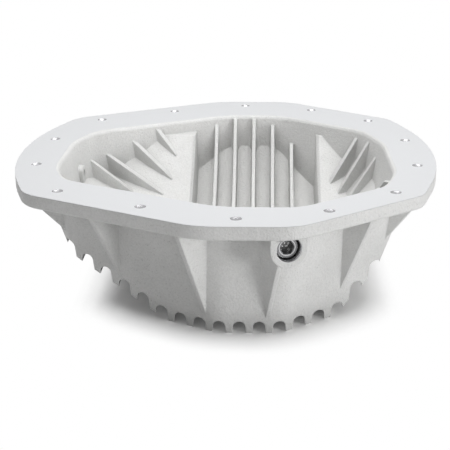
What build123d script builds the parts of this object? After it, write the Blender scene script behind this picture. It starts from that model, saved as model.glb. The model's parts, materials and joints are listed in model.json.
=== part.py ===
from build123d import *
from math import atan2, cos, degrees, radians, sin, tan
import os

# Finned differential cover, flange up, standing on the tips of its fins.
# Millimetres, +Z up. X is the axle direction, the outer fins run along Y.

# flange and overall height
coverZ = 105.0
flangeThick = 11.0
underFlange = coverZ - flangeThick
endReach = 206.0
sideReach = 185.0

# where the sides of the outline meet: half lengths of the end and side flats, and the shoulders between them
endFlatRight = 59.27
endFlatLeft = 15.87
sideFlatRight = 49.91
sideFlatLeft = 53.09
shoulderDropRight = 78.1
shoulderDropLeft = 76.0
shoulderInRight = 25.04
shoulderInLeft = 28.0
shoulderRight = (sideReach - shoulderInRight, endReach - shoulderDropRight)
shoulderLeft = (shoulderInLeft - sideReach, endReach - shoulderDropLeft)

# the twelve corners of the outline and the sides that start at them, turning left from the -Y end
nearEnd, nearRight, rightNear, rightSide, rightFar, farRight = range(6)
farEnd, farLeft, leftFar, leftSide, leftNear, nearLeft = range(6, 12)
corners = [(-endFlatLeft, -endReach), (endFlatRight, -endReach), (shoulderRight[0], -shoulderRight[1]),
           (sideReach, -sideFlatRight), (sideReach, sideFlatRight), shoulderRight, (endFlatRight, endReach),
           (-endFlatLeft, endReach), shoulderLeft, (-sideReach, sideFlatLeft), (-sideReach, -sideFlatLeft),
           (shoulderLeft[0], -shoulderLeft[1])]
mirrorSide = [farEnd, farRight, rightFar, rightSide, rightNear, nearRight,
              nearEnd, nearLeft, leftNear, leftSide, leftFar, farLeft]

# how much of the shorter side beside it each corner's round takes up
flangeRounds = [0.201, 0.205, 0.094, 0.574, 0.574, 0.094, 0.205, 0.201, 0.163, 0.646, 0.646, 0.163]

# body under the flange: how far each side lies in from the flange edge
bodyInset = [30, 28, 28, 29, 31, 45, 52, 49, 36, 31.5, 31, 31]
bodyRounds = [0.216, 0.234, 0.118, 0.239, 0.191, 0.157, 0.221, 0.203, 0.172, 0.191, 0.279, 0.181]
bodyDraft = 9.5

# opening in the flange
openingInset = [48.5, 37, 34.7, 41, 45, 57.5, 65.5, 62.5, 46, 41.5, 39, 50]
openingRounds = [0.285, 0.194, 0.226, 0.305, 0.272, 0.298, 0.277, 0.272, 0.384, 0.356, 0.389, 0.315]
openingLip = 3.4
bandDepth = 12.0
cavityDraft = 9.0

# cast edges
flangeUnderEdge = 1.2
bodyFlare = 2.6

# bolts of the -Y half: side, place along it from its middle, distance in from the edge; the +Y half mirrors them
boltPlaces = [(nearEnd, -7.8, 18.6), (nearRight, -21.1, 15.4), (nearRight, 51.5, 19.0), (rightSide, -42.9, 18.9),
              (nearLeft, 19.8, 19.1), (nearLeft, -60.8, 19.5), (leftSide, 43.6, 21.1)]
boltBore = 9.0

# outer fins: the tips lie on a flat with a slope on each side, the grooves follow it
flatLeftX = -43.0
flatRightX = 93.0
leftSlope = 0.53
rightSlope = 0.95
finPitch = 15.85
grooveMargin = 45.0
grooveMidX = -0.6
grooveDepth = 10.5
grooveRadius = 4.8
grooveDraft = 5.0

# gussets of the -Y half: side, place along it from its middle, turn from its outward angle, height over the groove roots
ribPlaces = [(leftNear, 12.5, 0, 3.0), (nearLeft, -19.7, 0, 3.0), (nearLeft, 60.4, 0, 3.0),
             (nearEnd, 28.8, 18, 3.0), (nearRight, 16.0, 0, 8.0), (rightNear, -22.1, -18, 3.0)]
ribEdgeGap = 5.0
ribRidge = 3.4
ribRootWidth = 22.0
ribDepth = 37.0
ribSink = 0.6

# inside surfaces, turned about the axle line
axleY = -8.5
axleLift = 84.0
axleZ = coverZ + axleLift
sideRadius = 149.0
troughRadius = 184.0
troughLeftX = -33.0
troughRightX = 84.5
floorThick = 6.0
leftFloorThick = 8.0
rightFloorThick = 10.0

# long inner fins
innerFinRadius = 169.0
innerFinPitch = 19.1
innerFinFirstX = -14.5
innerFinCount = 5
innerFinTip = 3.4
innerFinDraft = 3.0
innerFinTops = [97.0, 102.3, 102.3, 96.0, 80.0]
innerFinDeep = troughRadius + 8.0
innerFinFoot = 6.4
innerFinFootDepth = 30.0
innerFinSink = 0.5
stepRound = 5.0
stepDraft = 3.0

# slanting inner fins of the +Y half: side, place along it from its middle, height; run; drop; angle in plan; thickness;
# the -Y half mirrors them about the axle line
slantFins = [(farLeft, 18.0, 99.9, 24.3, 22.6, -33.9, 5.0), (farLeft, 43.5, 90.3, 46.1, 30.3, -31.7, 5.0),
             (farLeft, 73.9, 82.5, 64.6, 32.0, -26.1, 5.0), (leftFar, 22.7, 81.6, 40.3, 30.1, -5.9, 5.0),
             (farRight, -65.6, 100.5, 34.1, 43.1, 214.5, 4.0), (rightFar, -16.6, 100.0, 30.7, 48.5, 199.6, 4.3),
             (rightFar, -37.6, 89.9, 24.1, 36.6, 192.8, 4.0)]
slantFinRoot = 25.0

# plugs: shank clearance in the bore, and the hex sockets
threadGap = 0.3

# drain port: middle of the boss face, turn of its axis from -Y, drill sizes
drainX = 53.2
drainInset = 11.0
drainDrop = 21.5
drainTurn = 17.0
drainBossRadius = 14.6
drainBossDeep = 12.0
drainCounterRadius = 9.8
drainThreadRadius = 7.1
drainRecess = 5.0
drainNotchRadius = 9.0
drainNotchDepth = 26.0
drainWall = 41.0

# drain plug, its seal and its magnet
plugHeadRadius = 8.6
plugHeadThick = 4.5
plugShankLength = 16.0
plugEdge = 0.8
plugHex = 10.0
plugHexDeep = 7.0
sealThick = 1.5
magnetRadius = 4.0
magnetLength = 6.0
magnetProud = 2.5

# sensor port in the left wall: place along the wall, height, boss and bore sizes
sensorY = 27.0
sensorDrop = 28.3
sensorInset = 24.0
sensorWall = 26.0
sensorBossRadius = 9.0
sensorInnerBossRadius = 7.0
sensorThreadRadius = 5.1
sensorThreadDeep = 14.0
sensorBoreRadius = 3.0
sensorPlugSink = 1.0
sensorPlugLength = 9.0
sensorPlugHex = 5.0
sensorPlugHexDeep = 4.5
sensorPlugEdge = 0.6


def sideOf(i):
    """Outward direction and distance of one side of the outline, and where its middle lies along it."""
    start, stop = Vector(*corners[i]), Vector(*corners[(i + 1) % len(corners)])
    along = (stop - start).normalized()
    out = Vector(along.Y, -along.X)
    return out, start.dot(out), (start + stop).dot(along) / 2


def sidePoint(side, along, inset):
    """Point in plan at a place along one side, counted from its middle, set in from its edge."""
    out, reach, middle = sideOf(side)
    return out * (reach - inset) + Vector(-out.Y, out.X) * (middle + along)


def sideCorner(first, second, firstInset, secondInset):
    """Where two sides meet, each set in from the flange edge."""
    a, r1, _ = sideOf(first % len(corners))
    b, r2, _ = sideOf(second)
    r1, r2 = r1 - firstInset, r2 - secondInset
    cross = a.X * b.Y - a.Y * b.X
    return Vector((r1 * b.Y - r2 * a.Y) / cross, (r2 * a.X - r1 * b.X) / cross)


def cornerRadii(insets, rounds):
    """Radius at each corner, from the share of the shorter side that its round takes up."""
    n = len(corners)
    points = [sideCorner(i - 1, i, insets[i - 1], insets[i]) for i in range(n)]
    lengths = [(points[(i + 1) % n] - points[i]).length for i in range(n)]
    radii = []
    for i, p in enumerate(points):
        half = radians((points[i - 1] - p).get_angle(points[(i + 1) % n] - p)) / 2
        radii.append(rounds[i] * min(lengths[i - 1], lengths[i]) * tan(half))
    return radii


def roundedOutline(insets, radii, z):
    """Closed outline of the twelve sides, set in, with its own radius at each corner."""
    n = len(corners)
    points = [sideCorner(i - 1, i, insets[i - 1], insets[i]) for i in range(n)]
    ends = []
    for i, p in enumerate(points):
        a = (points[i - 1] - p).normalized()
        b = (points[(i + 1) % n] - p).normalized()
        half = radians(a.get_angle(b)) / 2
        centre = p + (a + b).normalized() * (radii[i] / sin(half))
        reach = radii[i] / tan(half)
        ends.append((p + a * reach, centre - (a + b).normalized() * radii[i], p + b * reach))
    edges = []
    for i, (start, middle, stop) in enumerate(ends):
        edges.append(ThreePointArc(start, middle, stop))
        edges.append(Line(stop, ends[(i + 1) % n][0]))
    return Pos(0, 0, z) * make_face(edges)


def tipHeight(x):
    """Height of the fin tips over the ground."""
    return max(0.0, leftSlope * (flatLeftX - x), rightSlope * (x - flatRightX))


def sideProfile():
    """Flat with two slopes, seen along Y, filled up to well over the flange."""
    wide = 220.0
    points = [(flatLeftX, 0), (flatRightX, 0), (wide, rightSlope * (wide - flatRightX)), (wide, 2 * coverZ),
              (-wide, 2 * coverZ), (-wide, leftSlope * (flatLeftX + wide))]
    face = make_face(Plane.XZ * Polyline(*points, close=True))
    return extrude(face, amount=2 * endReach, both=True)


def grooves():
    """All grooves between the outer fins, as one cutter."""
    cutter = []
    half = grooveRadius
    count = int(2 * (sideReach - grooveMargin) / finPitch)
    for i in range(count):
        x = grooveMidX + finPitch * (i - (count - 1) / 2)
        top = tipHeight(x) + grooveDepth
        down = top - grooveRadius
        low = -5.0
        lean = tan(radians(grooveDraft))
        outer = half + (down - low) * lean
        outline = [Line((x + outer, low), (x + half, down)), ThreePointArc((x + half, down), (x, top), (x - half, down)),
                   Line((x - half, down), (x - outer, low)), Line((x - outer, low), (x + outer, low))]
        cutter.append(extrude(make_face([Plane.XZ * e for e in outline]), amount=2 * endReach, both=True))
    return cutter


def blockOf(first, second):
    """Solid between two plane four-sided faces, given by their corners in the same order."""
    faces = [first, second] + [[first[i - 1], first[i], second[i], second[i - 1]] for i in range(4)]
    return Solid(Shell([make_face(Polyline(*f, close=True)) for f in faces]))


def rib(side, along, turn, lift):
    """Wedge-shaped gusset from the flange edge down to the wall just over the grooves."""
    out = sideOf(side)[0]
    angle = degrees(atan2(out.Y, out.X)) + turn
    tip = sidePoint(side, along, ribEdgeGap)
    slope = tan(radians(bodyDraft))
    wallTop = (bodyInset[side] - ribEdgeGap) / cos(radians(turn))
    foot = tip
    z = 0.0
    for _ in range(6):
        run = (bodyInset[side] + (underFlange - z) * slope - ribEdgeGap) / cos(radians(turn)) + ribSink
        foot = tip - Vector(cos(radians(angle)), sin(radians(angle))) * run
        z = tipHeight(foot.X) + grooveDepth + lift
    splay = (ribRootWidth - ribRidge) / 2 / wallTop
    half = ribRidge / 2
    ends = []
    for start, height in ((0.0, underFlange + 1.0), (-run, z)):
        wide = half + ribDepth * splay
        ends.append([(start, -half, height), (start, half, height), (start - ribDepth, wide, height),
                     (start - ribDepth, -wide, height)])
    return Pos(tip.X, tip.Y) * Rot(0, 0, angle) * blockOf(*ends)


def openingSpace(depth):
    """The drafted opening, from the gasket face down."""
    radii = cornerRadii(openingInset, openingRounds)
    return extrude(roundedOutline(openingInset, radii, coverZ), amount=-depth, taper=cavityDraft)


def lipped(plate):
    """The plate with the lip of its opening taken off in two flats that touch the round of the lip."""
    turn = (90.0 - cavityDraft) / 4
    whole = openingLip * tan(radians(2 * turn))
    chord = 2 * openingLip * sin(radians(turn))
    first = whole - chord * cos(radians(turn)) + chord * sin(radians(turn)) / tan(radians(3 * turn))
    for onTop, onWall in ((first, whole), (whole - first, chord * sin(radians(turn)) / sin(radians(3 * turn)))):
        top = plate.faces().sort_by(Axis.Z)[-1]
        plate = chamfer(top.inner_wires()[0].edges(), onTop, onWall, reference=top)
    return plate


def cavity():
    """Everything that is hollow inside the cover, the inner fins left out of account."""
    low = grooveDepth + floorThick
    leftAt = flatLeftX - (floorThick - leftFloorThick) / leftSlope
    padHeight = axleZ - sideRadius
    rightPadX = flatRightX + (padHeight - grooveDepth - rightFloorThick) / rightSlope
    wide = 220.0
    shift = (troughRadius - sideRadius) * tan(radians(stepDraft))
    outline = Polyline((-wide, 0), (-wide, sideRadius), (troughLeftX - shift, sideRadius), (troughLeftX, troughRadius),
                       (troughRightX, troughRadius), (troughRightX + shift, sideRadius), (rightPadX, sideRadius),
                       (wide, sideRadius - rightSlope * (wide - rightPadX)), (wide, 0), close=True)
    face = make_face(outline)
    steps = [v for v in face.vertices() if abs(v.Y - sideRadius) < 0.01 and troughLeftX - 9 < v.X < troughRightX + 9]
    face = chamfer(steps, stepRound / 2)
    turned = revolve(Pos(0, axleY, axleZ) * face, Axis((0, axleY, axleZ), (1, 0, 0)), 360)
    slope = make_face(Plane.XZ * Polyline((leftAt, low), (wide, low), (wide, 2 * coverZ), (-wide, 2 * coverZ),
                                          (-wide, low + leftSlope * (leftAt + wide)), close=True))
    return openingSpace(bandDepth) + (openingSpace(coverZ - low) & turned & extrude(slope, amount=2 * endReach, both=True))


def innerFinFeet(x, top):
    """Two flared feet where an inner fin runs into the far wall, growing from nothing at the fin's top."""
    lean = tan(radians(cavityDraft))
    half = innerFinTip / 2
    wallTop = endReach - openingInset[farEnd] - (coverZ - top) * lean + innerFinSink
    low = top - innerFinFootDepth
    wallLow = wallTop - innerFinFootDepth * lean
    feet = []
    for s in (1, -1):
        a = Vector(x + s * half, wallTop, top)
        b = Vector(x + s * (half + innerFinFoot), wallLow, low)
        c = Vector(x + s * (half + 0.3 * innerFinFoot), wallLow - 0.3 * innerFinFoot, low)
        d = Vector(x + s * half, wallLow - innerFinFoot, low)
        e = Vector(x, wallLow + 4.0, low)
        f = Vector(x, wallTop + 4.0, top)
        g = Vector(x, wallTop, top)
        h = Vector(x, wallLow - innerFinFoot, low)
        faces = [(a, b, c), (a, c, d), (f, e, b), (f, b, a), (f, a, g), (g, a, d), (g, d, h), (f, g, h), (f, h, e),
                 (b, e, c), (e, h, c), (c, h, d)]
        feet.append(Solid(Shell([make_face(Polyline(*t, close=True)) for t in faces])))
    return feet


def innerFins():
    """Ring-shaped fins round the axle line, cut off level at the far and near ends."""
    rings = []
    lean = tan(radians(innerFinDraft))
    for i in range(innerFinCount):
        x = innerFinFirstX + innerFinPitch * i
        half, root = innerFinTip / 2, innerFinTip / 2 + (innerFinDeep - innerFinRadius) * lean
        face = make_face(Polyline((x - half, innerFinRadius), (x + half, innerFinRadius), (x + root, innerFinDeep),
                                  (x - root, innerFinDeep), close=True))
        ring = revolve(Pos(0, axleY, axleZ) * face, Axis((0, axleY, axleZ), (1, 0, 0)), 360)
        under = Pos(x, axleY, innerFinTops[i] - coverZ) * Box(4 * root, 2 * endReach, 2 * coverZ)
        rings.append(ring & under)
    return rings


def slantFin(start, mirrored):
    """Upright plate whose top edge runs down from the wall to the floor."""
    side, along, z, run, drop, angle, thick = start
    start = sidePoint(side, along, openingInset[side] + (coverZ - z) * tan(radians(cavityDraft)))
    points = [(-slantFinRoot, z + 1.0), (-run / drop, z + 1.0), (run, z - drop), (run, 0), (-slantFinRoot, 0)]
    plate = extrude(make_face(Plane.XZ * Polyline(*points, close=True)), amount=thick / 2, both=True)
    plate = Pos(start.X, start.Y, 0) * Rot(0, 0, angle) * plate
    if mirrored:
        plate = Pos(0, 2 * axleY, 0) * mirror(plate, Plane.XZ)
    return plate


def drainFrame():
    """Frame at the middle of the drain boss face: its Z points out of the cover, its Y points up."""
    out = (sin(radians(drainTurn)), -cos(radians(drainTurn)), 0)
    return Plane(origin=(drainX, drainInset - endReach, coverZ - drainDrop), x_dir=(cos(radians(drainTurn)), sin(radians(drainTurn)), 0), z_dir=out)


def sensorFrame():
    """Frame at the middle of the sensor boss face: its Z points out of the cover."""
    return Plane(origin=(sensorInset - sideReach, sensorY, coverZ - sensorDrop), x_dir=(0, -1, 0), z_dir=(-1, 0, 0))


def rod(frame, radius, top, bottom):
    """Round solid on the frame's Z, between two heights."""
    return frame * Pos(0, 0, (top + bottom) / 2) * Cylinder(radius, top - bottom)


def hexRod(frame, across, top, bottom):
    """Six-sided solid on the frame's Z, between two heights."""
    face = frame * Pos(0, 0, bottom) * RegularPolygon(across / 2, 6, major_radius=False)
    return extrude(face, amount=top - bottom, dir=tuple(frame.z_dir))


def drainSeat():
    """Depth of the counterbore floor below the boss face."""
    return drainRecess + plugHeadThick + sealThick


def drainBoss():
    """Round boss with straight sides up to the flange."""
    frame = drainFrame()
    rise = drainDrop - flangeThick + 1.0
    deep = drainWall - drainBossDeep
    block = frame * Pos(0, rise / 2, -deep / 2) * Box(2 * drainBossRadius, rise, deep)
    return rod(frame, drainBossRadius, 0, -deep) + block


def drainHoles():
    frame = drainFrame()
    holes = [rod(frame, drainCounterRadius, coverZ, -drainSeat()), rod(frame, drainThreadRadius, 0, -drainWall - 5.0),
             rod(frame, drainNotchRadius, -drainWall + 2.0, -drainWall - drainNotchDepth)]
    return holes


def sensorBoss():
    return rod(sensorFrame(), sensorBossRadius, 0, -sensorWall / 2)


def sensorInnerBoss():
    """Inner end of the sensor boss, straight down to the floor below it."""
    height = coverZ - sensorDrop
    x = sensorInset - sideReach + 0.75 * sensorWall
    block = Pos(x, sensorY, height / 2) * Box(sensorWall / 2, 2 * sensorInnerBossRadius, height)
    return rod(sensorFrame(), sensorInnerBossRadius, -sensorWall / 2, -sensorWall) + block


def sensorHoles():
    frame = sensorFrame()
    return [rod(frame, sensorThreadRadius, 2.0, -sensorThreadDeep), rod(frame, sensorBoreRadius, 0, -2 * sensorWall)]


def boltHoles():
    holes = []
    for side, along, inset in boltPlaces:
        for s, t in ((side, along), (mirrorSide[side], -along)):
            p = sidePoint(s, t, inset)
            holes.append(Pos(p.X, p.Y, coverZ - flangeThick / 2) * Cylinder(boltBore / 2, 2 * flangeThick))
    return holes


def cover():
    edge = [0] * len(corners)
    bodyRadii = cornerRadii(bodyInset, bodyRounds)
    plate = extrude(roundedOutline(edge, cornerRadii(edge, flangeRounds), underFlange), amount=flangeThick)
    plate = plate - openingSpace(bandDepth)
    plate = lipped(plate)
    rim = plate.faces().sort_by(Axis.Z)[0].outer_wire().edges()
    plate = chamfer(rim, flangeUnderEdge)
    body = extrude(roundedOutline(bodyInset, bodyRadii, underFlange), amount=-underFlange, taper=bodyDraft)
    flareInset = [i - bodyFlare for i in bodyInset]
    flare = extrude(roundedOutline(flareInset, bodyRadii, underFlange), amount=-1.5 * bodyFlare, taper=45)
    body &= sideProfile()
    body = body - grooves()
    ribs = []
    for side, along, turn, lift in ribPlaces:
        ribs.append(rib(side, along, turn, lift))
        ribs.append(rib(mirrorSide[side], -along, -turn, lift))
    ribs += [rib(rightSide, 0, 0, 3.0), rib(leftSide, 0, 0, 3.0)]
    inside = innerFins() + [slantFin(f, m) for f in slantFins for m in (False, True)] + [sensorInnerBoss()]
    for i in range(innerFinCount):
        inside += innerFinFeet(innerFinFirstX + innerFinPitch * i, innerFinTops[i])
    band = openingSpace(bandDepth)
    finTops = [band & fin for fin in inside]
    solid = plate + [body, flare] + ribs + [drainBoss(), sensorBoss()]
    solid = solid - (cavity() - inside) + [fin for fin in finTops if fin]
    return solid - drainHoles() - sensorHoles() - boltHoles()


def drainPlug():
    frame = drainFrame()
    top = -drainRecess
    seat = top - plugHeadThick
    head = rod(frame, plugHeadRadius, top, seat)
    head = chamfer(head.edges().filter_by(GeomType.CIRCLE), plugEdge)
    shankLow = -drainSeat() - plugShankLength
    shank = rod(frame, drainThreadRadius - threadGap, seat, shankLow)
    pocket = rod(frame, magnetRadius, shankLow + magnetLength - magnetProud, shankLow - 1.0)
    return head + shank - hexRod(frame, plugHex, top + 1.0, top - plugHexDeep) - pocket


def drainPlugSeal():
    frame = drainFrame()
    low = -drainSeat()
    return rod(frame, plugHeadRadius, low + sealThick, low) - rod(frame, drainThreadRadius, low + 5.0, low - 5.0)


def drainPlugMagnet():
    frame = drainFrame()
    low = -drainSeat() - plugShankLength
    return rod(frame, magnetRadius, low + magnetLength - magnetProud, low - magnetProud)


def sensorPlug():
    frame = sensorFrame()
    top = -sensorPlugSink
    plug = rod(frame, sensorThreadRadius - threadGap, top, top - sensorPlugLength)
    plug = chamfer(plug.edges().filter_by(GeomType.CIRCLE), sensorPlugEdge)
    return plug - hexRod(frame, sensorPlugHex, top + 1.0, top - sensorPlugHexDeep)


os.makedirs("parts", exist_ok=True)
export_step(cover(), "parts/cover.step")
export_step(drainPlug(), "parts/drain_plug.step")
export_step(drainPlugSeal(), "parts/drain_plug_seal.step")
export_step(drainPlugMagnet(), "parts/drain_plug_magnet.step")
export_step(sensorPlug(), "parts/sensor_plug.step")
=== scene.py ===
import json
import math
import bpy
from mathutils import Matrix, Vector


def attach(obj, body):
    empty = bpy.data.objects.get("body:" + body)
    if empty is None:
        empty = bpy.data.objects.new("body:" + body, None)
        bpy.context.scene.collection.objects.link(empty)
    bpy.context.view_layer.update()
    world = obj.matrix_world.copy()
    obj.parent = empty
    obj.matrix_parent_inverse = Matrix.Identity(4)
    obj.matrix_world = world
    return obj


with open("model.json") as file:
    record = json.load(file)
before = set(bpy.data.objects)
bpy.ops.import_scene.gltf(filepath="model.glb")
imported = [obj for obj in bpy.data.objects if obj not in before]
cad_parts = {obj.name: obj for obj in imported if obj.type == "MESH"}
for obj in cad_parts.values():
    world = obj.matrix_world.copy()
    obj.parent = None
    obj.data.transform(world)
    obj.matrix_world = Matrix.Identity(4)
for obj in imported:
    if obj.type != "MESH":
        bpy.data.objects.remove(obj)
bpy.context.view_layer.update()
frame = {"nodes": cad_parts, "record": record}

scene = bpy.context.scene
mm = 0.001
white = (1.0, 1.0, 1.0, 1.0)
mounts = {mount["name"]: mount for mount in frame["record"]["mounts"]}
gasketHeight = mounts["gasket_face"]["pos_m"][2]
boltBores = [mount for mount in mounts.values() if mount["kind"] == "bore"]
boreSize = boltBores[0]["dims"]
print("frame loaded")


# an input is linked where its value is another node's output, and set where it isn't
def addNode(tree, kind, at=(0, 0), inputs=None, **settings):
    node = tree.nodes.new(kind)
    node.location = at
    for name, value in settings.items():
        setattr(node, name, value)
    for name, value in (inputs or {}).items():
        if isinstance(value, bpy.types.NodeSocket):
            tree.links.new(value, node.inputs[name])
        else:
            node.inputs[name].default_value = value
    return node


def addMath(tree, operation, *values, at=(0, 0)):
    return addNode(tree, "ShaderNodeMath", at, dict(enumerate(values)), operation=operation).outputs[0]


def addLength(tree, vector, at=(0, 0)):
    return addNode(tree, "ShaderNodeVectorMath", at, {0: vector}, operation="LENGTH").outputs["Value"]


def addDot(tree, first, second, at=(0, 0)):
    values = {0: first, 1: second}
    return addNode(tree, "ShaderNodeVectorMath", at, values, operation="DOT_PRODUCT").outputs["Value"]


def addMix(tree, factor, first, second, at=(0, 0), kind="RGBA"):
    values = {"Factor": factor, "A": first, "B": second}
    return addNode(tree, "ShaderNodeMix", at, values, data_type=kind).outputs["Result"]


def addRange(tree, value, given, wanted, at=(0, 0)):
    values = {"Value": value, "From Min": given[0], "From Max": given[1],
              "To Min": wanted[0], "To Max": wanted[1]}
    return addNode(tree, "ShaderNodeMapRange", at, values).outputs["Result"]


def addNoise(tree, vector, scale, detail, roughness, at=(0, 0)):
    values = {"Vector": vector, "Scale": scale, "Detail": detail, "Roughness": roughness}
    return addNode(tree, "ShaderNodeTexNoise", at, values).outputs["Fac"]


def addWave(tree, vector, shape, marks, at=(0, 0)):
    node = addNode(tree, "ShaderNodeTexWave", at, {"Vector": vector, **marks}, wave_type=shape)
    node.rings_direction = node.bands_direction = "Z"
    return node.outputs["Fac"]


# 1 in the open, less where other surfaces stand within reach
def addOpenness(tree, reach, samples, at=(0, 0)):
    return addNode(tree, "ShaderNodeAmbientOcclusion", at, {"Distance": reach}, samples=samples).outputs["AO"]


# the normal as if each edge were rounded
def addRound(tree, radius, samples, at=(0, 0)):
    return addNode(tree, "ShaderNodeBevel", at, {"Radius": radius}, samples=samples).outputs["Normal"]


def addBump(tree, height, strength, depth, at=(0, 0), normal=None):
    bump = addNode(tree, "ShaderNodeBump", at, {"Height": height, "Strength": strength, "Distance": depth})
    if normal:
        tree.links.new(normal, bump.inputs["Normal"])
    return bump.outputs["Normal"]


def addMetal(tree, colour, metallic, rough, bump, at=(0, 0)):
    values = {"Base Color": colour, "Metallic": metallic, "Roughness": rough, "Normal": bump}
    return addNode(tree, "ShaderNodeBsdfPrincipled", at, values).outputs["BSDF"]


def addShaderMix(tree, factor, first, second, at=(0, 0)):
    return addNode(tree, "ShaderNodeMixShader", at, {0: factor, 1: first, 2: second}).outputs[0]


# a new material, its tree and the point that it colours
def newMaterial(name):
    material = bpy.data.materials.new(name)
    material.use_nodes = True
    tree = material.node_tree
    tree.nodes.clear()
    return material, tree, addNode(tree, "ShaderNodeTexCoord", (-1900, 0)).outputs["Object"]


def closeMaterial(tree, shader):
    addNode(tree, "ShaderNodeOutputMaterial", (500, 0), {"Surface": shader})


def useMaterial(piece, material):
    slots = piece.data.materials
    for i in range(len(slots)):
        slots[i] = material
    if not slots:
        slots.append(material)


def addObject(name, data):
    thing = bpy.data.objects.new(name, data)
    scene.collection.objects.link(thing)
    return thing


# camera, fitted to the flange and its holes
view = {
    "place": (0.034176, -0.918375, 0.354573),
    "pitch": 0.334986,          # radians, downwards
    "roll": 0.006155,
    "turn": -0.038899,          # from +Y towards +X
    "focal": 1050.0,            # pixels
    "picture": 450.0,           # pixels, the width
    "sensor": 36.0,             # millimetres
    "seenFrom": 0.05,
    "seenTo": 30.0,
}


def makeCamera():
    data = bpy.data.cameras.new("camera")
    data.sensor_width = view["sensor"]
    data.lens = view["focal"] / view["picture"] * view["sensor"]
    data.clip_start = view["seenFrom"]
    data.clip_end = view["seenTo"]
    data.dof.use_dof = False
    pitch, roll, turn = view["pitch"], view["roll"], view["turn"]
    forward = Vector((math.sin(turn) * math.cos(pitch), math.cos(turn) * math.cos(pitch), -math.sin(pitch)))
    right = Vector((math.cos(turn), -math.sin(turn), 0.0))
    down = forward.cross(right)
    across = right * math.cos(roll) + down * math.sin(roll)
    up = right * math.sin(roll) - down * math.cos(roll)
    axes = Matrix((across, up, -forward)).transposed().to_4x4()
    camera = addObject("camera", data)
    camera.matrix_world = Matrix.Translation(view["place"]) @ axes
    scene.camera = camera


makeCamera()
print("camera placed")


# soft studio light: a wide box overhead, a key from the front right, a weak fill from the front left
light = {
    "worldStrength": 0.17,
    "lamps": {
        "topLamp": {"power": 5.3, "size": 0.7, "place": (0.03, 0.0, 0.84)},
        "keyLamp": {"power": 15.2, "size": 0.5, "place": (1.45, -1.12, 0.15)},
        "fillLamp": {"power": 0.5, "size": 1.0, "place": (-0.35, -1.5, 0.35)},
    },
    "aim": (0.0, 0.0, 0.06),
    "floorHalf": 6.0,                        # from its middle to an edge
    "floorColour": (0.68, 0.68, 0.68, 1),    # as it lights the cover
    "floorSeen": (1.3, 1.3, 1.3, 1),         # as the camera and glossy rays see it
    "floorGlow": 0.05,
    "floorFade": (0.22, 0.38),               # the floor turns to plain white between these distances
    "shadeReach": 0.04,                      # the shade keeps to the floor this near the cover
    "shadeRange": (0.50, 0.96),
    "shadeSamples": 16,
}


def makeLamp(name, lamp):
    data = bpy.data.lights.new(name, "AREA")
    data.shape = "SQUARE"
    data.energy = lamp["power"]
    data.size = lamp["size"]
    place = Vector(lamp["place"])
    turn = (place - Vector(light["aim"])).to_track_quat("Z", "Y").to_matrix().to_4x4()
    addObject(name, data).matrix_world = Matrix.Translation(place) @ turn


def seenDirectly(tree):      # by the camera, in a gloss or through glass
    path = addNode(tree, "ShaderNodeLightPath", (-900, 300)).outputs
    seen = addMath(tree, "MAXIMUM", path["Is Camera Ray"], path["Is Glossy Ray"], at=(-700, 300))
    return addMath(tree, "MAXIMUM", seen, path["Is Transmission Ray"], at=(-520, 300))


def makeWorld():
    scene.world = bpy.data.worlds.new("studio")
    scene.world.use_nodes = True
    tree = scene.world.node_tree
    tree.nodes.clear()
    dim = {"Color": white, "Strength": light["worldStrength"]}
    soft = addNode(tree, "ShaderNodeBackground", (-220, 0), dim)
    plain = addNode(tree, "ShaderNodeBackground", (-220, -140), {"Color": white, "Strength": 1.0})
    shown = addShaderMix(tree, seenDirectly(tree), soft.outputs[0], plain.outputs[0])
    addNode(tree, "ShaderNodeOutputWorld", (200, 0), {"Surface": shown})


def makeFloor():
    half = light["floorHalf"]
    corners = [(-half, -half, 0), (half, -half, 0), (half, half, 0), (-half, half, 0)]
    mesh = bpy.data.meshes.new("floor")
    mesh.from_pydata(corners, [], [(0, 1, 2, 3)])
    material, tree, where = newMaterial("paleFloor")
    far = addRange(tree, addLength(tree, where, (-700, -200)), light["floorFade"], (0.0, 1.0), (-500, -200))
    openness = addOpenness(tree, light["shadeReach"], light["shadeSamples"], (-900, -500))
    clear = addRange(tree, openness, light["shadeRange"], (0.0, 1.0), (-700, -500))
    bare = addMath(tree, "MAXIMUM", far, clear, at=(-300, -300))
    lit = addNode(tree, "ShaderNodeBsdfDiffuse", (-400, 200), {"Color": light["floorColour"]})
    near = addNode(tree, "ShaderNodeBsdfDiffuse", (-400, 60), {"Color": light["floorSeen"]})
    glow = addNode(tree, "ShaderNodeEmission", (-400, -60), {"Color": white, "Strength": light["floorGlow"]})
    plain = addNode(tree, "ShaderNodeEmission", (-400, -320), {"Color": white, "Strength": 1.0})
    shaded = addNode(tree, "ShaderNodeAddShader", (-200, 0), {0: near.outputs[0], 1: glow.outputs[0]})
    seen = addShaderMix(tree, bare, shaded.outputs[0], plain.outputs[0], (0, -100))
    closeMaterial(tree, addShaderMix(tree, seenDirectly(tree), lit.outputs[0], seen, (180, 0)))
    mesh.materials.append(material)
    addObject("floor", mesh)


makeWorld()
for lampName, lamp in light["lamps"].items():
    makeLamp(lampName, lamp)
makeFloor()
print("light and floor made")


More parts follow.
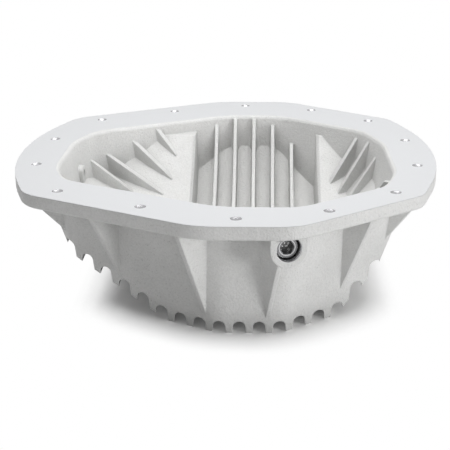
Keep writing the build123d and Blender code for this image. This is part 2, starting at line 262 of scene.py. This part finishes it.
# raw sand casting, with a milled gasket face
casting = {
    "castColour": (0.87, 0.87, 0.86, 1),
    "castDark": (0.75, 0.75, 0.74, 1),
    "speckColour": (0.60, 0.60, 0.59, 1),
    # painted highlight colour for the rounded edges
    "edgeHighlightColour": (0.92, 0.92, 0.92, 1),
    "milledColour": (0.80, 0.81, 0.83, 1),
    "milledDark": (0.73, 0.74, 0.75, 1),
    "sand": (620.0, 2.0, 0.6),               # scale, detail and roughness of a noise
    "lumps": (300.0, 2.0, 0.5),
    "mottle": (24.0, 3.0, 0.55),
    "grainShare": 0.5,                       # of the tone
    "mottleShare": 0.5,
    "toneRange": (0.34, 0.66),
    "pitScale": 420.0,
    "pitSize": 0.2,
    "lumpShare": 0.6,                        # of the sand's height
    "sandDepth": 0.5 * mm,
    "rawRound": 1.5 * mm,
    "rawSamples": 8,
    "cutRound": 0.6 * mm,
    "cutSamples": 4,
    "edgeHighlightFrom": (0.98, 0.80),                # cosines of a round's turn where the painted edge highlight starts and is full
    "edgeHighlightShare": 0.8,
    # the crevice entries paint shade into the raw colour where other faces of the cover stand near
    "crevice": 26 * mm,
    "creviceRange": (0.35, 0.95),
    "creviceSamples": 8,
    "creviceShadeShare": 0.55,
    "creviceShadeColour": (0.42, 0.42, 0.41, 1),
    "castMetal": 0.12,
    "castRough": 0.66,
    "millRough": 0.52,
    "millHeight": 0.05,                      # of the sand's depth
    "millMarks": {"Scale": 260.0, "Distortion": 0.6, "Detail": 2.0, "Detail Scale": 3.0},
    "cutterCentre": (-0.25, -0.55, 0.105),
    "faceHeight": gasketHeight - 0.1 * mm,
}


def castMaterial():
    material, tree, where = newMaterial("castAluminium")
    height = addNode(tree, "ShaderNodeSeparateXYZ", (-1600, 300), {"Vector": where}).outputs["Z"]
    onFace = addMath(tree, "GREATER_THAN", height, casting["faceHeight"], at=(-1400, 300))
    offFace = addMath(tree, "SUBTRACT", 1.0, onFace, at=(-1200, 300))

    # sand skin: fine grain, lumps and small pits
    sand = addNoise(tree, where, *casting["sand"], (-1600, 0))
    lumps = addNoise(tree, where, *casting["lumps"], (-1600, -200))
    mottle = addNoise(tree, where, *casting["mottle"], (-1600, -400))
    cells = {"Vector": where, "Scale": casting["pitScale"]}
    pits = addNode(tree, "ShaderNodeTexVoronoi", (-1600, -600), cells).outputs["Distance"]
    pit = addRange(tree, pits, (0.0, casting["pitSize"]), (1.0, 0.0), (-1400, -600))

    # colour: mottled grey with darker pits
    blotch = addMath(tree, "MULTIPLY", mottle, casting["mottleShare"], at=(-1400, -400))
    grain = addMath(tree, "MULTIPLY_ADD", sand, casting["grainShare"], blotch, at=(-1400, 0))
    tone = addRange(tree, grain, casting["toneRange"], (0.0, 1.0), (-1200, 0))
    raw = addMix(tree, tone, casting["castDark"], casting["castColour"], (-1000, 0))
    raw = addMix(tree, pit, raw, casting["speckColour"], (-800, 0))

    # painted shade darkening the crevices, where other faces of the cover stand within reach
    openness = addOpenness(tree, casting["crevice"], casting["creviceSamples"], (-1000, -1300))
    depth = addRange(tree, openness, casting["creviceRange"], (1.0, 0.0), (-800, -1300))
    paintedShade = addMix(tree, casting["creviceShadeShare"], raw, casting["creviceShadeColour"], (-600, -1300))
    raw = addMix(tree, depth, raw, paintedShade, (-500, 0))

    # painted highlight lightening the edges, where the rounds turn the surface and no painted crevice shade
    # is near
    rawRound = addRound(tree, casting["rawRound"], casting["rawSamples"], (-1200, -900))
    flat = addNode(tree, "ShaderNodeNewGeometry", (-1400, -1000)).outputs["Normal"]
    turned = addDot(tree, rawRound, flat, (-1000, -1000))
    edge = addRange(tree, turned, casting["edgeHighlightFrom"], (0.0, casting["edgeHighlightShare"]), (-800, -1000))
    clear = addMath(tree, "SUBTRACT", 1.0, depth, at=(-600, -1200))
    wearAndHighlight = addMath(tree, "MULTIPLY", edge, clear, at=(-500, -1100))
    raw = addMix(tree, wearAndHighlight, raw, casting["edgeHighlightColour"], (-450, 0))

    # gasket face: arcs left by a large face mill
    centre = tuple(-c for c in casting["cutterCentre"])
    arcs = addNode(tree, "ShaderNodeMapping", (-1600, 600), {"Vector": where, "Location": centre}).outputs[0]
    marks = addWave(tree, arcs, "RINGS", casting["millMarks"], (-1400, 600))
    milled = addMix(tree, marks, casting["milledDark"], casting["milledColour"], (-800, 600))

    # heights: the sand skin off the face, the mill marks on it
    rough = addMath(tree, "MULTIPLY_ADD", lumps, casting["lumpShare"], sand, at=(-1200, -200))
    rough = addMath(tree, "SUBTRACT", rough, pit, at=(-1000, -200))
    rough = addMath(tree, "MULTIPLY", rough, offFace, at=(-800, -200))
    cut = addMath(tree, "MULTIPLY", marks, casting["millHeight"], at=(-1000, 400))
    skin = addMath(tree, "MULTIPLY_ADD", cut, onFace, rough, at=(-600, -200))
    cutRound = addRound(tree, casting["cutRound"], casting["cutSamples"], (-1200, -1100))
    rounds = addMix(tree, onFace, rawRound, cutRound, (-600, -900), "VECTOR")
    bump = addBump(tree, skin, 1.0, casting["sandDepth"], (-400, -300), rounds)

    colour = addMix(tree, onFace, raw, milled, (-400, 100))
    gloss = addRange(tree, onFace, (0.0, 1.0), (casting["castRough"], casting["millRough"]), (-400, -100))
    closeMaterial(tree, addMetal(tree, colour, casting["castMetal"], gloss, bump))
    return material


castSkin = castMaterial()
useMaterial(frame["nodes"]["cover"], castSkin)
print("casting finished")


# frames of the two ports, as in the CAD: their Z points out of the cover
ports = {
    "drain": {"place": (53.2, -195.0, 83.5), "turn": 17.0},          # in millimetres and degrees
    "sensor": {"place": (-161.0, 27.0, 76.7), "turn": -90.0},
}


# from a port's own axes to the cover's
def portFrame(name):
    turn = math.radians(ports[name]["turn"])
    across = Vector((math.cos(turn), math.sin(turn), 0.0))
    out = Vector((math.sin(turn), -math.cos(turn), 0.0))
    turned = Matrix((across, Vector((0.0, 0.0, 1.0)), out)).transposed().to_4x4()
    return Matrix.Translation(Vector(ports[name]["place"]) * mm) @ turned


# plated steel of the plugs, the seal and the magnet
plating = {
    "drain_plug": {"port": "drain", "colour": (0.28, 0.28, 0.29, 1), "rough": 0.20},
    "drain_plug_seal": {"port": "drain", "colour": (0.62, 0.62, 0.61, 1), "rough": 0.40},
    "drain_plug_magnet": {"port": "drain", "colour": (0.60, 0.59, 0.57, 1), "rough": 0.20},
    "sensor_plug": {"port": "sensor", "colour": (0.46, 0.46, 0.47, 1), "rough": 0.34},
}

# turning rings and wear that the plated pieces share
turning = {
    "rings": {"Scale": 900.0, "Distortion": 0.4, "Detail": 1.0},
    "ringStrength": 0.25,
    "ringDepth": 0.05 * mm,
    "edgeRound": 0.35 * mm,
    "edgeSamples": 4,
    "wear": (420.0, 4.0, 0.6),
    "wearRange": (0.3, 0.7),
    "wornTone": 0.7,
    "glossier": 0.06,
    "duller": 0.10,
}

# the drain plug's head: radii from the port's axis, heights along it
socket = {
    "rim": 7.75 * mm,
    "lip": (5.95 * mm, 6.45 * mm),
    "wall": 5.9 * mm,
    "mouth": -5.2 * mm,         # painted shade in the socket below this height
    "bottom": -11.9 * mm,       # and painted glints below this one
    # colours painted on the head: highlight on the rim, lip and glints, shade in the socket
    "paintedHighlight": (0.62, 0.62, 0.62, 1),
    "paintedShade": (0.13, 0.13, 0.13, 1),
    "glints": (520.0, 1.0, 0.5),
    "glintFrom": 0.6,
}


def paintedSocketLight(tree, colour, local):
    split = addNode(tree, "ShaderNodeSeparateXYZ", (-1100, 200), {"Vector": local}).outputs
    flat = addNode(tree, "ShaderNodeCombineXYZ", (-1100, 0), {"X": split["X"], "Y": split["Y"]}).outputs[0]
    radius = addLength(tree, flat, (-900, 0))
    out = split["Z"]

    # painted highlight on the rim and lip
    rim = addMath(tree, "GREATER_THAN", radius, socket["rim"], at=(-600, 500))
    pastWall = addMath(tree, "GREATER_THAN", radius, socket["lip"][0], at=(-780, 700))
    inLip = addMath(tree, "LESS_THAN", radius, socket["lip"][1], at=(-780, 850))
    lip = addMath(tree, "MULTIPLY", pastWall, inLip, at=(-600, 700))
    shine = addMath(tree, "MAXIMUM", rim, lip, at=(-400, 600))
    colour = addMix(tree, shine, colour, socket["paintedHighlight"], (-200, 300))

    # painted shade inside the socket, with painted glints on its bottom
    inWall = addMath(tree, "LESS_THAN", radius, socket["wall"], at=(-560, 950))
    inMouth = addMath(tree, "LESS_THAN", out, socket["mouth"], at=(-560, 1100))
    inside = addMath(tree, "MULTIPLY", inWall, inMouth, at=(-400, 950))
    colour = addMix(tree, inside, colour, socket["paintedShade"], (-100, 300))
    deep = addMath(tree, "LESS_THAN", out, socket["bottom"], at=(-400, 800))
    speck = addNoise(tree, local, *socket["glints"], (-560, 1250))
    glint = addMath(tree, "GREATER_THAN", speck, socket["glintFrom"], at=(-400, 1250))
    atBottom = addMath(tree, "MULTIPLY", deep, inside, at=(-200, 800))
    glint = addMath(tree, "MULTIPLY", glint, atBottom, at=(-100, 1000))
    return addMix(tree, glint, colour, socket["paintedHighlight"], (0, 300))


def platedMaterial(name, finish):
    material, tree, where = newMaterial(name + "Plating")
    port = portFrame(finish["port"])
    turned = {"Vector": where, "Location": port.to_translation(), "Rotation": port.to_euler()}
    local = addNode(tree, "ShaderNodeMapping", (-1300, 0), turned, vector_type="TEXTURE").outputs[0]
    wear = addNoise(tree, where, *turning["wear"], (-900, -600))
    wearAndHighlight = tuple(c * turning["wornTone"] for c in finish["colour"][:3]) + (1,)
    colour = addMix(tree, wear, wearAndHighlight, finish["colour"], (-600, 200))
    # the drain plug's head gets its painted highlight, shade and glints
    if name == "drain_plug":
        colour = paintedSocketLight(tree, colour, local)
    rings = addWave(tree, local, "RINGS", turning["rings"], (-900, -300))
    edge = addRound(tree, turning["edgeRound"], turning["edgeSamples"], (-600, -800))
    bump = addBump(tree, rings, turning["ringStrength"], turning["ringDepth"], (-300, -500), edge)
    spread = (finish["rough"] - turning["glossier"], finish["rough"] + turning["duller"])
    gloss = addRange(tree, wear, turning["wearRange"], spread, (-300, -100))
    closeMaterial(tree, addMetal(tree, colour, 1.0, gloss, bump, (200, 0)))
    return material


platedSkins = {name: platedMaterial(name, finish) for name, finish in plating.items()}
for name, skin in platedSkins.items():
    useMaterial(frame["nodes"][name], skin)
print("plugs finished")


# bright bored metal of the holes
boring = {
    "colour": (0.50, 0.50, 0.51, 1),
    "darkColour": (0.38, 0.38, 0.39, 1),
    "rough": 0.26,
    "stain": (300.0, 3.0, 0.5),
    "feed": {"Scale": 1400.0, "Distortion": 0.8, "Detail": 2.0},
    "feedStrength": 0.3,
    "feedDepth": 0.04 * mm,
}


def boredMaterial():
    material, tree, where = newMaterial("boredMetal")
    stain = addNoise(tree, where, *boring["stain"], (-700, -300))
    colour = addMix(tree, stain, boring["darkColour"], boring["colour"], (-300, 100))
    feed = addWave(tree, where, "BANDS", boring["feed"], (-700, 0))
    bump = addBump(tree, feed, boring["feedStrength"], boring["feedDepth"], (-300, -300))
    closeMaterial(tree, addMetal(tree, colour, 1.0, boring["rough"], bump))
    return material


# a tree of Geometry Nodes with one named input for each size
def newTree(name, sizes):
    tree = bpy.data.node_groups.new(name, "GeometryNodeTree")
    tree.interface.new_socket("Geometry", in_out="INPUT", socket_type="NodeSocketGeometry")
    for label, value in sizes.items():
        kind = "NodeSocketInt" if isinstance(value, int) else "NodeSocketFloat"
        tree.interface.new_socket(label, in_out="INPUT", socket_type=kind).default_value = value
    tree.interface.new_socket("Geometry", in_out="OUTPUT", socket_type="NodeSocketGeometry")
    return tree, addNode(tree, "NodeGroupInput", (-900, 0)).outputs


def closeTree(tree, geometry, material):
    real = addNode(tree, "GeometryNodeRealizeInstances", (500, 0), {"Geometry": geometry})
    coat = {"Geometry": real.outputs[0], "Material": material}
    coated = addNode(tree, "GeometryNodeSetMaterial", (700, 0), coat)
    addNode(tree, "NodeGroupOutput", (900, 0), {"Geometry": coated.outputs[0]})
    return tree


# a plain mesh grown by a tree from another mesh, and moved to its place
def growPiece(name, mesh, tree, sizes, place=Matrix()):
    piece = addObject(name, mesh)
    modifier = piece.modifiers.new("grow", "NODES")
    modifier.node_group = tree
    for item in tree.interface.items_tree:
        if item.in_out == "INPUT" and item.name in sizes:
            modifier[item.identifier] = sizes[item.name]
    grown = piece.evaluated_get(bpy.context.evaluated_depsgraph_get())
    result = bpy.data.meshes.new_from_object(grown)
    piece.modifiers.clear()
    piece.data = result
    result.name = name
    result.transform(place)
    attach(piece, "root")
    print(name, "has", len(result.polygons), "faces")


def pointMesh(name, points):
    mesh = bpy.data.meshes.new(name)
    mesh.from_pydata(points, [], [])
    return mesh


# thin machined skins in the bolt holes and in the drain port's counterbore
boltHoleSkins = {
    "lift": 0.05 * mm,          # over the middle of each bore
    "sizes": {"Outer Radius": (boreSize["r_mm"] - 0.01) * mm, "Wall": 0.05 * mm,
              "Length": (boreSize["length_mm"] - 0.1) * mm, "Segments": 48},
}
drainPortSkin = {
    "middle": -5.45 * mm,       # along the port's axis
    "sizes": {"Outer Radius": 9.79 * mm, "Wall": 0.05 * mm, "Length": 10.7 * mm, "Segments": 72},
}


def ringTree(sizes, material):
    tree, start = newTree("ring", sizes)
    middle = addMath(tree, "MULTIPLY_ADD", start["Wall"], -0.5, start["Outer Radius"], at=(-700, 200))
    circle = {"Resolution": start["Segments"], "Radius": middle}
    path = addNode(tree, "GeometryNodeCurvePrimitiveCircle", (-500, 200), circle)
    wall = {"Width": start["Wall"], "Height": start["Length"]}
    section = addNode(tree, "GeometryNodeCurvePrimitiveQuadrilateral", (-500, -100), wall)
    swept = {"Curve": path.outputs[0], "Profile Curve": section.outputs[0]}
    ring = addNode(tree, "GeometryNodeCurveToMesh", (-300, 100), swept)
    copied = {"Points": start["Geometry"], "Instance": ring.outputs[0]}
    copies = addNode(tree, "GeometryNodeInstanceOnPoints", (0, 0), copied)
    return closeTree(tree, copies.outputs[0], material)


boredSkin = boredMaterial()
boltPoints = [Vector(bore["pos_m"]) + Vector((0, 0, boltHoleSkins["lift"])) for bore in boltBores]
growPiece("bolt_hole_skins", pointMesh("boltPoints", boltPoints), ringTree(boltHoleSkins["sizes"], boredSkin),
          boltHoleSkins["sizes"])
growPiece("drain_port_skin", pointMesh("drainPoint", [(0, 0, drainPortSkin["middle"])]),
          ringTree(drainPortSkin["sizes"], boredSkin), drainPortSkin["sizes"], portFrame("drain"))
print("bored skins made")


# thread ridges: a diamond section swept along a spiral, sunk into each plug's plain shank
threads = {
    "drain_plug": {
        "start": -26.4 * mm,
        "sizes": {"Turns": 9.8, "Pitch": 1.5 * mm, "Radius": 6.7 * mm, "Ridge": 0.36 * mm,
                  "Segments": 28, "Corners": 4},
    },
    "sensor_plug": {
        "start": -9.2 * mm,
        "sizes": {"Turns": 6.0, "Pitch": 1.2 * mm, "Radius": 4.72 * mm, "Ridge": 0.33 * mm,
                  "Segments": 28, "Corners": 4},
    },
}


def threadTree(sizes, material):
    tree, start = newTree("thread", sizes)
    rise = addMath(tree, "MULTIPLY", start["Turns"], start["Pitch"], at=(-700, 0))
    spiral = {"Resolution": start["Segments"], "Rotations": start["Turns"], "Start Radius": start["Radius"],
              "End Radius": start["Radius"], "Height": rise}
    path = addNode(tree, "GeometryNodeCurveSpiral", (-500, 100), spiral)
    diamond = {"Resolution": start["Corners"], "Radius": start["Ridge"]}
    section = addNode(tree, "GeometryNodeCurvePrimitiveCircle", (-500, -200), diamond)
    swept = {"Curve": path.outputs[0], "Profile Curve": section.outputs[0], "Fill Caps": True}
    ridge = addNode(tree, "GeometryNodeCurveToMesh", (-300, 0), swept)
    return closeTree(tree, ridge.outputs[0], material)


for name, thread in threads.items():
    place = portFrame(plating[name]["port"]) @ Matrix.Translation((0, 0, thread["start"]))
    tree = threadTree(thread["sizes"], platedSkins[name])
    growPiece(name + "_thread", pointMesh(name + "Point", [(0, 0, 0)]), tree, thread["sizes"], place)
print("threads made")


# grains of the sand skin that stand proud of the raw faces
grains = {
    "sizes": {"Density": 9000.0, "Radius": 0.3 * mm, "Smallest": 0.5, "Largest": 1.3, "Seed": 7,
              "Lowest": 0.6 * mm, "Highest": gasketHeight - 0.8 * mm},
    "clearBolt": 6.0 * mm,                   # no grain this near a bolt hole's axis, in the flange
    "flangeLow": gasketHeight - 12.0 * mm,
    "faceHigh": gasketHeight - 0.2 * mm,
    "clearPorts": {"drain": (13.0 * mm, 48.0 * mm), "sensor": (8.0 * mm, 30.0 * mm)},    # radius and depth
    "clearOut": 1.0 * mm,                    # in front of the ports
}


# a copy of the cover's mesh that marks the faces left raw
def rawMesh():
    mesh = frame["nodes"]["cover"].data.copy()
    mesh.name = "rawFaces"
    bores = [Vector(bore["pos_m"]).xy for bore in boltBores]
    clearPorts = [(portFrame(name).inverted(), *sizes) for name, sizes in grains["clearPorts"].items()]
    raw = mesh.attributes.new("rawSkin", "BOOLEAN", "FACE")
    for face, flag in zip(mesh.polygons, raw.data):
        centre = face.center
        cut = centre.z > grains["faceHigh"]
        if centre.z > grains["flangeLow"]:
            cut = cut or any((centre.xy - bore).length < grains["clearBolt"] for bore in bores)
        for intoPort, radius, depth in clearPorts:
            local = intoPort @ centre
            cut = cut or (local.xy.length < radius and -depth < local.z < grains["clearOut"])
        flag.value = not cut
    return mesh


def grainTree(sizes, material):
    tree, start = newTree("grains", sizes)
    skin = {"Name": "rawSkin"}
    raw = addNode(tree, "GeometryNodeInputNamedAttribute", (-700, -200), skin, data_type="BOOLEAN")
    scattered = {"Mesh": start["Geometry"], "Selection": raw.outputs["Attribute"],
                 "Density": start["Density"], "Seed": start["Seed"]}
    spread = addNode(tree, "GeometryNodeDistributePointsOnFaces", (-400, 0), scattered).outputs
    grain = addNode(tree, "GeometryNodeMeshIcoSphere", (-400, -300), {"Radius": start["Radius"]})
    chosen = {"Min": start["Smallest"], "Max": start["Largest"], "Seed": start["Seed"]}
    size = addNode(tree, "FunctionNodeRandomValue", (-400, -500), chosen, data_type="FLOAT")
    where = addNode(tree, "GeometryNodeInputPosition", (-600, 400)).outputs[0]
    height = addNode(tree, "ShaderNodeSeparateXYZ", (-400, 400), {"Vector": where}).outputs["Z"]
    above = addMath(tree, "GREATER_THAN", height, start["Lowest"], at=(-200, 500))
    below = addMath(tree, "LESS_THAN", height, start["Highest"], at=(-200, 350))
    between = addMath(tree, "MULTIPLY", above, below, at=(-100, 250))
    copied = {"Points": spread["Points"], "Selection": between, "Instance": grain.outputs["Mesh"],
              "Rotation": spread["Rotation"], "Scale": size.outputs["Value"]}
    copies = addNode(tree, "GeometryNodeInstanceOnPoints", (0, 0), copied)
    return closeTree(tree, copies.outputs[0], material)


growPiece("cast_grains", rawMesh(), grainTree(grains["sizes"], castSkin), grains["sizes"])
print("grains made")

scene.view_settings.view_transform = "Standard"
